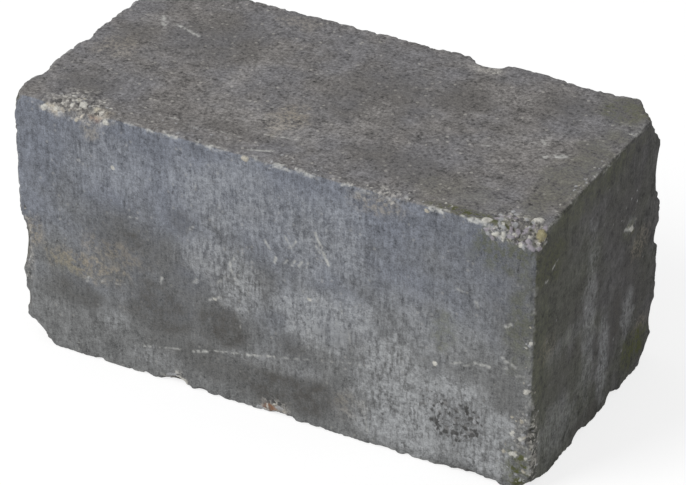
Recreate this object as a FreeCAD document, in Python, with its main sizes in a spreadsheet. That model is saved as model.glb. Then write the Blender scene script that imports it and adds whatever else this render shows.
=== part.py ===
# Solid concrete wall block, cast as one piece and tumbled so that its edges and corners are worn.
#
# Frame: +X along the length, +Y from the front face to the back face, +Z up.
# The origin is the middle of the bed face, the face that the block is laid on. Units are millimetres.
#
# The body is a plain prism with worn (rounded) edges. Each knock is one shallow hollow, part of a
# large sphere: a chip lies on an edge, and a corner break takes off one corner.
import FreeCAD
import Part
import Sketcher

import os
from dataclasses import dataclass

SHEET = "Sizes"
NODE = "concrete_block"

# Overall sizes and edge wear. Each of these can be changed by itself.
OVERALL = {
    "block_length": 300,
    "block_width": 150,
    "block_height": 150,
    "upright_edge_radius": 3,
    "top_edge_radius": 1.6,
    "bed_edge_radius": 2.6,
    "corner_break_hollow": 140,
}

# Each face: the axis it is square to, the way it looks, and where it lies.
FACES = {
    "left": ("x", -1, "-Sizes.block_length / 2"),
    "right": ("x", 1, "Sizes.block_length / 2"),
    "front": ("y", -1, "-Sizes.block_width / 2"),
    "back": ("y", 1, "Sizes.block_width / 2"),
    "bed": ("z", -1, "0"),
    "top": ("z", 1, "Sizes.block_height"),
}


@dataclass(frozen=True)
class Chip:
    """A shallow hollow on the edge between two faces, its middle at a distance from the face `end`."""

    name: str
    faces: tuple
    end: str
    at: float
    length: float
    depth: float


@dataclass(frozen=True)
class CornerBreak:
    """A broken corner, with how far it reaches along the block's length, width and height."""

    faces: tuple
    along_length: float
    along_width: float
    along_height: float

    @property
    def name(self):
        return "_".join(self.faces) + "_corner"


CHIPS = (
    Chip("long_arris_chip", ("front", "top"), "left", 39, 48, 5.5),
    Chip("small_arris_chip", ("front", "top"), "right", 150, 16, 2.6),
    Chip("middle_arris_chip", ("front", "top"), "right", 83, 20, 2.4),
    Chip("pale_bed_chip", ("front", "bed"), "left", 94, 22, 4.3),
    Chip("rusty_bed_chip", ("front", "bed"), "left", 157, 20, 2.8),
    Chip("right_bed_chip", ("front", "bed"), "right", 33, 50, 3),
    Chip("back_bed_chip", ("back", "bed"), "left", 118, 26, 3.6),
    Chip("back_notch", ("back", "top"), "right", 100, 24, 6),
    Chip("back_shallow_chip", ("back", "top"), "right", 40, 56, 2.5),
    Chip("left_end_top_chip", ("left", "top"), "front", 29, 24, 2.6),
    Chip("near_end_bed_chip", ("right", "bed"), "front", 59, 20, 3.4),
    Chip("far_end_bed_chip", ("right", "bed"), "back", 52, 16, 4.8),
    Chip("low_upright_chip", ("front", "right"), "bed", 34, 20, 3.2),
    Chip("middle_upright_chip", ("front", "right"), "bed", 94, 12, 2.4),
    Chip("left_low_chip", ("front", "left"), "bed", 25, 26, 3.8),
    Chip("left_upright_chip", ("front", "left"), "bed", 61, 40, 5),
    Chip("back_low_chip", ("back", "right"), "bed", 24, 28, 4.6),
    Chip("upright_notch", ("back", "right"), "bed", 74, 14, 6),
    Chip("back_high_chip", ("back", "right"), "top", 36, 46, 6),
)

CORNER_BREAKS = (
    CornerBreak(("front", "right", "top"), 36, 17, 10),
    CornerBreak(("front", "left", "top"), 8, 9, 8),
    CornerBreak(("back", "right", "top"), 16, 20, 30),
    CornerBreak(("back", "left", "top"), 12, 11, 9),
    CornerBreak(("front", "right", "bed"), 11, 20, 10),
    CornerBreak(("front", "left", "bed"), 22, 16, 20),
    CornerBreak(("back", "right", "bed"), 14, 22, 18),
    CornerBreak(("back", "left", "bed"), 11, 12, 10),
)


def write_sheet(doc):
    """Puts every driving dimension in the spreadsheet, one row each, with its name as the cell's alias."""
    sheet = doc.addObject("Spreadsheet::Sheet", SHEET)
    sizes = dict(OVERALL)
    for chip in CHIPS:
        sizes[chip.name + "_at"] = chip.at
        sizes[chip.name + "_length"] = chip.length
        sizes[chip.name + "_depth"] = chip.depth
    for corner in CORNER_BREAKS:
        sizes[corner.name + "_along_length"] = corner.along_length
        sizes[corner.name + "_along_width"] = corner.along_width
        sizes[corner.name + "_along_height"] = corner.along_height
    for row, (alias, value) in enumerate(sizes.items(), start=1):
        sheet.set(f"A{row}", alias)
        sheet.set(f"B{row}", str(value))
        sheet.setAlias(f"B{row}", alias)
    doc.recompute()
    return sheet


def origin_plane(body, role):
    """One of the body's own origin planes, found by its role."""
    for feature in body.Origin.OriginFeatures:
        if feature.Role == role:
            return feature
    raise RuntimeError(f"the body has no origin plane {role}")


def footprint_sketch(body):
    """The block's outline on the bed plane: a rectangle centred on the origin."""
    sketch = body.newObject("Sketcher::SketchObject", "footprint")
    sketch.AttachmentSupport = [(origin_plane(body, "XY_Plane"), "")]
    sketch.MapMode = "FlatFace"
    half_length = OVERALL["block_length"] / 2
    half_width = OVERALL["block_width"] / 2
    corners = [
        FreeCAD.Vector(-half_length, -half_width, 0),
        FreeCAD.Vector(half_length, -half_width, 0),
        FreeCAD.Vector(half_length, half_width, 0),
        FreeCAD.Vector(-half_length, half_width, 0),
    ]
    for start, end in zip(corners, corners[1:] + corners[:1]):
        sketch.addGeometry(Part.LineSegment(start, end), False)
    for side in range(4):
        sketch.addConstraint(Sketcher.Constraint("Coincident", side, 2, (side + 1) % 4, 1))
    for side, direction in enumerate(("Horizontal", "Vertical", "Horizontal", "Vertical")):
        sketch.addConstraint(Sketcher.Constraint(direction, side))
    sketch.addConstraint(Sketcher.Constraint("Symmetric", 0, 1, 1, 2, -1, 1))
    for name, kind, side in (("length", "DistanceX", 0), ("width", "DistanceY", 1)):
        index = sketch.addConstraint(Sketcher.Constraint(kind, side, 1, side, 2, OVERALL["block_" + name]))
        sketch.renameConstraint(index, name)
        sketch.setExpression(f"Constraints.{name}", f"{SHEET}.block_{name}")
    return sketch


def prism(body):
    """The block before wear: the footprint raised to the block's height."""
    pad = body.newObject("PartDesign::Pad", "prism")
    pad.Profile = footprint_sketch(body)
    pad.setExpression("Length", f"{SHEET}.block_height")
    body.Document.recompute()
    return pad


def edges_where(shape, test):
    """The names of the shape's straight edges whose direction and middle pass the test."""
    found = []
    for number, edge in enumerate(shape.Edges, start=1):
        if not isinstance(edge.Curve, Part.Line):
            continue
        middle = edge.valueAt((edge.FirstParameter + edge.LastParameter) / 2)
        if test(edge.Curve.Direction, middle):
            found.append(f"Edge{number}")
    return found


def wear_edges(body, base, name, radius_alias, test):
    """Rounds the edges that pass the test to the worn radius."""
    fillet = body.newObject("PartDesign::Fillet", name)
    fillet.Base = (base, edges_where(base.Shape, test))
    fillet.setExpression("Radius", f"{SHEET}.{radius_alias}")
    body.Document.recompute()
    return fillet


def worn_prism(body):
    """The prism with its upright, top and bed edges rounded, each to its own radius."""
    upright = wear_edges(
        body, prism(body), "upright_wear", "upright_edge_radius",
        lambda direction, middle: abs(direction.z) > 0.5,
    )
    top = upright.Shape.BoundBox.ZMax
    # Each ring is one smooth run of edges, so one straight edge of it carries the fillet all round.
    ring = wear_edges(
        body, upright, "top_wear", "top_edge_radius",
        lambda direction, middle: abs(direction.z) < 0.5 and middle.z > top - 0.01,
    )
    return wear_edges(
        body, ring, "bed_wear", "bed_edge_radius",
        lambda direction, middle: abs(direction.z) < 0.5 and middle.z < 0.01,
    )


def hollow(body, name, radius, centre):
    """Cuts one sphere out of the body. The radius and the centre's coordinates are expressions."""
    before = body.Shape.Volume
    scoop = body.newObject("PartDesign::SubtractiveSphere", name)
    scoop.setExpression("Radius", radius)
    for axis, expression in centre.items():
        scoop.setExpression(f"Placement.Base.{axis}", expression)
    body.Document.recompute()
    if scoop.Shape.Volume >= before:
        raise RuntimeError(f"{name} cuts nothing")
    return scoop


def cut_chip(body, chip):
    """A chip's sphere is centred outside the edge, on the line that halves the angle of its faces."""
    length = f"{SHEET}.{chip.name}_length"
    depth = f"{SHEET}.{chip.name}_depth"
    radius = f"(({length} / 2) ^ 2 + {depth} ^ 2) / (2 * {depth})"
    centre = {}
    for face in chip.faces:
        axis, way, place = FACES[face]
        centre[axis] = f"{place} + {way} * ({radius} - {depth}) * sqrt(0.5)"
    axis, way, place = FACES[chip.end]
    centre[axis] = f"{place} - {way} * {SHEET}.{chip.name}_at"
    return hollow(body, chip.name, radius, centre)


def break_corner(body, corner):
    """A corner break follows the plane through its three reaches, hollowed a little by a large sphere."""
    reach = {
        "x": f"{SHEET}.{corner.name}_along_length",
        "y": f"{SHEET}.{corner.name}_along_width",
        "z": f"{SHEET}.{corner.name}_along_height",
    }
    steepness = "sqrt(" + " + ".join(f"1 / {value} ^ 2" for value in reach.values()) + ")"
    radius = f"{SHEET}.corner_break_hollow"
    centre = {}
    for face in corner.faces:
        axis, way, place = FACES[face]
        share = f"1 / ({reach[axis]} * {steepness})"
        centre[axis] = f"{place} + {way} * ({radius} - 1 / {steepness}) * {share}"
    return hollow(body, corner.name, radius, centre)


def check(doc):
    """Stops if any object of the document failed, or if the body isn't one sound solid."""
    for thing in doc.Objects:
        if {"Invalid", "Error"} & set(thing.State):
            raise RuntimeError(f"{thing.Label} failed: {thing.State}")
    for body in doc.findObjects("PartDesign::Body"):
        shape = body.Shape
        if shape.isNull() or not shape.isValid() or len(shape.Solids) != 1:
            raise RuntimeError(f"{body.Label} isn't one sound solid")


def main():
    doc = FreeCAD.newDocument("wall_block")
    write_sheet(doc)
    body = doc.addObject("PartDesign::Body", NODE)
    body.Label = NODE
    worn_prism(body)
    for corner in CORNER_BREAKS:
        break_corner(body, corner)
    for chip in CHIPS:
        cut_chip(body, chip)
    doc.recompute()
    check(doc)
    os.makedirs("parts", exist_ok=True)
    body.Shape.exportStep(os.path.join("parts", body.Label + ".step"))
    box = body.Shape.optimalBoundingBox()
    litres = body.Shape.Volume / 1e6
    print(f"{body.Label}: {box.XLength:.2f} x {box.YLength:.2f} x {box.ZLength:.2f} mm, {litres:.3f} litres")


main()
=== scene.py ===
"""A tumbled concrete wall block: one cast piece with worn arrises, chips, grit, stains and scratches.

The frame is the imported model's: metres, +X along the block, +Y from its front face to its back, +Z up, with
the origin in the middle of the bed face. Sizes of the surface's own features are in millimetres.
"""

import logging
import math
from collections.abc import Callable
from dataclasses import dataclass
from enum import Enum

import bmesh
import bpy
import numpy as np
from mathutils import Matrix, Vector

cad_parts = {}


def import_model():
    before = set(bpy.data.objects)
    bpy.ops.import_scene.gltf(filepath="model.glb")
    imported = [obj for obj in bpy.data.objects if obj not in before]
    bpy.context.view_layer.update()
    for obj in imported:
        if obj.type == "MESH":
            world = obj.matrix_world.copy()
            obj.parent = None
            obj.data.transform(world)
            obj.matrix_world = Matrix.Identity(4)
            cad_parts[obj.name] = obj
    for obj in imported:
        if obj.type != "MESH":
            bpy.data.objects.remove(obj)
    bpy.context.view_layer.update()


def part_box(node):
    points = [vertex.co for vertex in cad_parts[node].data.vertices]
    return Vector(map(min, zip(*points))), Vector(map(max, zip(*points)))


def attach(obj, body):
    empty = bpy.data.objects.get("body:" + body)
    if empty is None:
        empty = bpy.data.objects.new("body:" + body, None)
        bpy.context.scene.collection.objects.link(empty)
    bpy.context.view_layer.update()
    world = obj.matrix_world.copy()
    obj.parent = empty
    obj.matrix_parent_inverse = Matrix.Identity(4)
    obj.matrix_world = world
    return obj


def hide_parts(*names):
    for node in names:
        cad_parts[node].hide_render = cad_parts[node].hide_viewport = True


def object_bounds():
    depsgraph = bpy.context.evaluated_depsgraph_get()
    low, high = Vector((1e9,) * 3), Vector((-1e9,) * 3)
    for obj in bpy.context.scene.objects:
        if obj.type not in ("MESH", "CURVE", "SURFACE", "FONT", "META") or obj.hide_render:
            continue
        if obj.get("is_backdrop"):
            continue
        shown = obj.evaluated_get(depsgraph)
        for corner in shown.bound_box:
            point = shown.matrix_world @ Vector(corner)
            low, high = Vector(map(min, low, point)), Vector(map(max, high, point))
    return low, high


MM = 0.001
# A stain, or a patch of painted shade, is full inside its core and gone at its rim, both as shares of its
# reach. It colours the points down to its depth below the face, in millimetres.
PATCH_CORE = 0.45
PATCH_RIM = 1.15
PATCH_DEPTH = 12
# The colour inputs of the Mix node and its colour output, which share their names with others.
MIX_FIRST, MIX_SECOND, MIX_RESULT = 6, 7, 2
logger = logging.getLogger("wall_block")


def smooth(values: np.ndarray, low: float, high: float) -> np.ndarray:
    """Eases values from 0 at low to 1 at high.

    Args:
        values: The values to ease.
        low: Where the result is 0. It may be above high.
        high: Where the result is 1.

    Returns:
        One number from 0 to 1 for each value.
    """
    share = np.clip((values - low) / (high - low), 0, 1)
    return share * share * (3 - 2 * share)


def tone(red: int, green: int, blue: int) -> tuple[float, float, float, float]:
    """Turns a paint tone into the linear colour that a shader takes.

    Args:
        red: Red from 0 to 255.
        green: Green from 0 to 255.
        blue: Blue from 0 to 255.

    Returns:
        The linear colour with full alpha.
    """
    shares = [part / 255 for part in (red, green, blue)]
    linear = [s / 12.92 if s <= 0.04045 else ((s + 0.055) / 1.055) ** 2.4 for s in shares]
    return (*linear, 1.0)


class Face(Enum):
    """The block's faces: the axis each is square to, and which way along it the face looks."""

    LEFT = (0, -1)
    RIGHT = (0, 1)
    FRONT = (1, -1)
    BACK = (1, 1)
    BED = (2, -1)
    TOP = (2, 1)

    @property
    def across(self) -> list[int]:
        """The two axes that lie in the face."""
        return [axis for axis in range(3) if axis != self.value[0]]


class Mask(Enum):
    """What is painted on the block's points, each by its attribute's name."""

    # Dirt on the faces, and painted shade in the right end's hollows.
    DIRT = "dirt"
    BLOOM = "lime_bloom"
    OCHRE = "ochre_stain"
    MOSS = "moss"
    RUST = "rust"
    GRIT = "pale_grit"
    LIME = "lime_mortar"
    PITS = "open_pits"
    SCRATCH = "scratch"
    WORN = "worn_line"
    BREAK = "broken"
    STONE = "stone"


class Noise:
    """Seeded smooth noise in space, with one lump for each unit of length."""

    def __init__(self, seed: int) -> None:
        """Draws the noise's directions.

        Args:
            seed: The seed that the directions are drawn from.
        """
        random = np.random.default_rng(seed)
        directions = random.normal(size=(256, 3))
        self.directions = directions / np.linalg.norm(directions, axis=1, keepdims=True)
        self.order = np.tile(random.permutation(256), 2)

    def at(self, points: np.ndarray) -> np.ndarray:
        """Reads the noise.

        Args:
            points: Points in space, one row each.

        Returns:
            One value for each point, from about -1 to 1.
        """
        base = np.floor(points).astype(int)
        part = points - base
        ease = part**3 * (part * (part * 6 - 15) + 10)
        total = np.zeros(len(points))
        for corner in np.ndindex(2, 2, 2):
            cell = (base + corner) & 255
            picked = self.order[self.order[self.order[cell[:, 0]] + cell[:, 1]] + cell[:, 2]]
            slope = ((part - corner) * self.directions[picked]).sum(axis=1)
            total += slope * np.where(corner, ease, 1 - ease).prod(axis=1)
        return total * 1.7

    def layers(self, points: np.ndarray, size: float, count: int = 3) -> np.ndarray:
        """Adds up noise of halving size and strength.

        Args:
            points: Points in space, one row each.
            size: The size of the largest lumps, in the points' unit.
            count: How many layers there are.

        Returns:
            One value for each point, from about -1 to 1.
        """
        total = np.zeros(len(points))
        for layer in range(count):
            total += self.at(points * 2**layer / size + 31.7 * layer) / 2**layer
        return total / (2 - 2.0 ** (1 - count))


@dataclass(frozen=True)
class Prism:
    """The block's plain box, which its surface is measured from, in millimetres."""

    low: np.ndarray
    high: np.ndarray

    def inset(self, points: np.ndarray, face: Face) -> np.ndarray:
        """How far each point lies inside a face's plane."""
        axis, way = face.value
        return self.high[axis] - points[:, axis] if way > 0 else points[:, axis] - self.low[axis]

    def insets(self, points: np.ndarray) -> np.ndarray:
        """Measures how far each point is from the planes of the faces.

        Args:
            points: Points in millimetres, one row each.

        Returns:
            For each point, its distance inside the nearest plane, the next nearest and the farthest.
        """
        return np.sort(np.minimum(points - self.low, self.high - points), axis=1)

    def share(self, points: np.ndarray, face: Face, blend: float = 1.5) -> np.ndarray:
        """How far each point belongs to a face and not to one of its neighbours.

        Args:
            points: Points in millimetres, one row each.
            face: The face.
            blend: The width over which neighbours blend into each other.

        Returns:
            A share from 0 to 1 for each point.
        """
        own = self.inset(points, face)
        others = [self.inset(points, other) for other in Face if other is not face]
        return smooth(np.min(others, axis=0) - own, -blend, blend)

    def spot(self, points: np.ndarray, face: Face, place: tuple[float, float]) -> np.ndarray:
        """Finds the point of the surface that is nearest to a place on a face.

        Args:
            points: The surface's points in millimetres, one row each.
            face: The face.
            place: The place, along the two axes that lie in the face.

        Returns:
            The point.
        """
        off = np.linalg.norm(points[:, face.across] - place, axis=1) + self.inset(points, face)
        return points[off.argmin()]


@dataclass(frozen=True)
class Patch:
    """A soft-edged stain or patch of painted shade on a face, by its middle and its reach along the face's
    two axes.
    """

    mask: Mask
    face: Face
    middle: tuple[float, float]
    reach: tuple[float, float]
    strength: float = 1.0
    ragged: float = 0.35
    grain: float = 9.0

    def paint(self, points: np.ndarray, prism: Prism, noise: Noise) -> np.ndarray:
        """Works out how strong the stain or painted shade is.

        Args:
            points: The surface's points in millimetres, one row each.
            prism: The block's plain box.
            noise: The noise that makes the patch's outline ragged.

        Returns:
            A strength from 0 to 1 for each point.
        """
        off = np.linalg.norm((points[:, self.face.across] - self.middle) / self.reach, axis=1)
        strength = np.zeros(len(points))
        inset = prism.inset(points, self.face)
        near = np.flatnonzero((off < PATCH_RIM + self.ragged) & (inset < PATCH_DEPTH))
        close = points[near]
        rim = off[near] + self.ragged * noise.layers(close, self.grain)
        faded = smooth(rim, PATCH_RIM, PATCH_CORE)
        strength[near] = self.strength * faded * prism.share(close, self.face)
        return strength


@dataclass(frozen=True)
class Stroke:
    """A pale straight scratch on a face, which skips where the face dips."""

    face: Face
    start: tuple[float, float]
    end: tuple[float, float]
    width: float = 1.3
    strength: float = 0.8
    skips: float = 0.35

    def distance(self, points: np.ndarray, prism: Prism) -> np.ndarray:
        """How far each point is from the scratch, in millimetres; points of other faces are far away."""
        start = np.array(self.start)
        run = np.array(self.end) - start
        flat = points[:, self.face.across] - start
        along = np.clip(flat @ run / (run @ run), 0, 1)
        off = np.linalg.norm(flat - along[:, None] * run, axis=1)
        return off + 3 * np.maximum(prism.inset(points, self.face) - 1.5, 0)

    def paint(self, points: np.ndarray, prism: Prism, noise: Noise) -> np.ndarray:
        """Works out how strong the scratch is.

        Args:
            points: The surface's points in millimetres, one row each.
            prism: The block's plain box.
            noise: The noise that makes the scratch skip.

        Returns:
            A strength from 0 to 1 for each point.
        """
        off = self.distance(points, prism)
        strength = np.zeros(len(points))
        near = np.flatnonzero(off < self.width + 0.5)
        close = points[near]
        rim = off[near] + 0.55 * noise.layers(close, 1.8, 2)
        line = smooth(rim, 0.85 * self.width, 0.1 * self.width)
        gaps = smooth(noise.layers(close + 5.3, 2.4, 2), self.skips - 0.6, self.skips - 0.1)
        strength[near] = self.strength * line * gaps
        return strength


@dataclass(frozen=True)
class WornLine:
    """A broken pale line along the arris between two faces, over part of its length."""

    faces: tuple[Face, Face]
    span: tuple[float, float]
    width: float
    strength: float
    dabs: float = 0.0

    def paint(self, points: np.ndarray, prism: Prism, noise: Noise) -> np.ndarray:
        """Works out how strong the line is.

        Args:
            points: The surface's points in millimetres, one row each.
            prism: The block's plain box.
            noise: The noise that breaks the line into dabs.

        Returns:
            A strength from 0 to 1 for each point.
        """
        first, second = (prism.inset(points, face) for face in self.faces)
        axis = ({0, 1, 2} - {face.value[0] for face in self.faces}).pop()
        low, high = self.span
        off = np.hypot(first, second) + np.maximum(low - points[:, axis], points[:, axis] - high).clip(0)
        strength = np.zeros(len(points))
        near = np.flatnonzero(off < 2 * self.width + 2)
        close = points[near]
        stretch = np.where(np.arange(3) == axis, 0.4, 1)
        rim = off[near] + 0.9 * noise.layers(close, 3, 2)
        line = smooth(rim, 1.3 * self.width, 0.6 * self.width)
        dabs = smooth(noise.layers(close * stretch + 11.3, 2.6, 3), self.dabs - 0.12, self.dabs + 0.22)
        strength[near] = self.strength * line * dabs
        return strength


@dataclass(frozen=True)
class Stone:
    """A grain of aggregate that shows: its place on a face, half its length and width, and its tone."""

    face: Face
    place: tuple[float, float]
    size: tuple[float, float]
    colour: tuple[float, float, float, float]
    proud: float = 0.5
    tilt: float = 0.0

    def distance(self, points: np.ndarray, centre: np.ndarray, noise: Noise) -> np.ndarray:
        """Measures how far each point is from the stone, whose outline is angular.

        Args:
            points: Points in millimetres, one row each.
            centre: The stone's middle on the surface.
            noise: The noise that the stone's corners are drawn from.

        Returns:
            For each point, its distance, where 1 is the stone's rim.
        """
        off = points - centre
        across, up = self.face.across
        turn = math.cos(self.tilt), math.sin(self.tilt)
        flat = np.stack(
            (
                (off[:, across] * turn[0] + off[:, up] * turn[1]) / self.size[0],
                (off[:, up] * turn[0] - off[:, across] * turn[1]) / self.size[1],
                off[:, self.face.value[0]] / max(self.size),
            ),
            axis=1,
        )
        first = int(abs(centre[0] * 7 + centre[1] * 3 + centre[2]))
        sides = noise.directions[(first + np.arange(9) * 17) % 256]
        facets = (flat @ sides.T).max(axis=1) * 1.15
        return 0.4 * np.linalg.norm(flat, axis=1) + 0.6 * facets + 0.1 * noise.at(points / 0.9)


@dataclass(frozen=True)
class Grit:
    """A scatter of small stones over part of a face."""

    face: Face
    middle: tuple[float, float]
    reach: tuple[float, float]
    count: int
    sizes: tuple[float, float]
    colours: tuple[tuple[float, float, float, float], ...]

    def stones(self, random: np.random.Generator) -> list[Stone]:
        """Draws the scatter's stones.

        Args:
            random: The source of the places, sizes and tones.

        Returns:
            The stones.
        """
        drawn = []
        for _ in range(self.count):
            angle, far = random.uniform(0, 2 * math.pi), math.sqrt(random.uniform())
            place = (
                self.middle[0] + self.reach[0] * far * math.cos(angle),
                self.middle[1] + self.reach[1] * far * math.sin(angle),
            )
            half = random.uniform(*self.sizes)
            size = (half, half * random.uniform(0.55, 0.9))
            colour = self.colours[random.integers(len(self.colours))]
            drawn.append(Stone(self.face, place, size, colour, 0.25 * half, random.uniform(0, math.pi)))
        return drawn


WHITE = tone(206, 204, 196)
CREAM = tone(182, 176, 161)
YELLOW = tone(156, 148, 112)
PALE_GREY = tone(168, 169, 171)
MID_GREY = tone(120, 119, 118)
DARK_GREY = tone(72, 71, 70)
# Painted shade inside small pits.
PIT_SHADE_GREY = tone(54, 53, 51)
LILAC = tone(158, 152, 160)

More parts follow.
